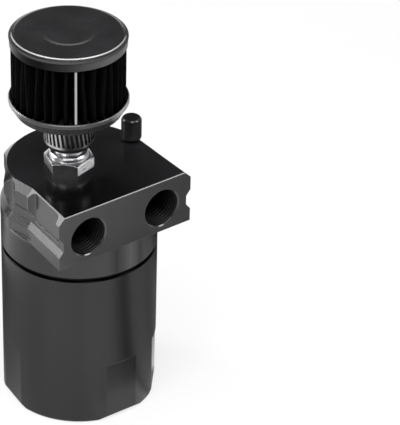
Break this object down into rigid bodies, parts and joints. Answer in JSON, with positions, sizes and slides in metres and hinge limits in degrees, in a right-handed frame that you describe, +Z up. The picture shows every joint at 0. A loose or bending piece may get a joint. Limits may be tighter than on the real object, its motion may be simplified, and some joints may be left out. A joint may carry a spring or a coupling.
{
  "type": "oil catch can",
  "caption": "Oil catch can: round black cup screwed under a milled head with threaded front ports, a dipstick and a clamped-on breather filter.",
  "frame": {"origin": "centre of the cup's flat base, on the cup's axis", "axes": "+Z up along the cup, -Y out of the front face with the two ports, +X to the right seen from the front"},
  "size_m": [0.0652, 0.0652, 0.1716],
  "materials": {
    "anodised": "black anodised, satin",
    "plain_aluminium": "plain machined",
    "polished": "polished",
    "steel": "bright",
    "gauze": "knitted wire",
    "rubber": "matt moulded",
    "pleats": "oiled pleated cloth",
    "pressed_cap": "gunmetal satin",
    "knob_black": "black anodised, knurled"
  },
  "bodies": {
    "head": {"head_block": "anodised", "inlet_tube": "plain_aluminium", "gauze_screen": "steel", "gauze_pack": "gauze", "baffle_plate": "plain_aluminium", "baffle_spacers": "plain_aluminium", "splash_plate": "plain_aluminium", "screw_washers": "steel", "baffle_screws": "steel", "breather_fitting": "polished", "fitting_seal": "rubber", "filter_neck": "rubber", "filter_dish": "pressed_cap", "filter_core": "steel", "filter_element": "pleats", "element_seam": "steel", "filter_cap": "pressed_cap", "clamp_band": "steel", "clamp_housing": "steel"},
    "seal_ring": {"cup_seal": "rubber"},
    "cup": {"collection_cup": "anodised"},
    "dipstick_ring": {"dipstick_seal": "rubber"},
    "dipstick": {"dipstick_knob": "knob_black", "dipstick_rod": "steel"},
    "clamp_worm": {"clamp_screw": "steel"}
  },
  "joints": [
    {"name": "cup_lower", "type": "slide", "parent": "head", "child": "seal_ring", "axis": [0, 0, -1], "range_m": [0, 0.009]},
    {"name": "cup_turn", "type": "hinge", "parent": "seal_ring", "child": "cup", "pos_m": [0, 0, 0.073], "axis": [0, 0, -1], "range_deg": [0, 2154]},
    {"name": "dipstick_lift", "type": "slide", "parent": "head", "child": "dipstick_ring", "axis": [0, 0, 1], "range_m": [0, 0.1]},
    {"name": "dipstick_turn", "type": "hinge", "parent": "dipstick_ring", "child": "dipstick", "pos_m": [0.0273, 0.0014, 0.11], "axis": [0, 0, 1], "continuous": true},
    {"name": "clamp_screw_turn", "type": "hinge", "parent": "head", "child": "clamp_worm", "pos_m": [0.00331, 0.01069, 0.12655], "axis": [-0.788, 0.6157, 0], "continuous": true}
  ],
  "couplings": [
    {"joint": "cup_lower", "follows": "cup_turn", "m_per_rad": 0.00023873}
  ]
}
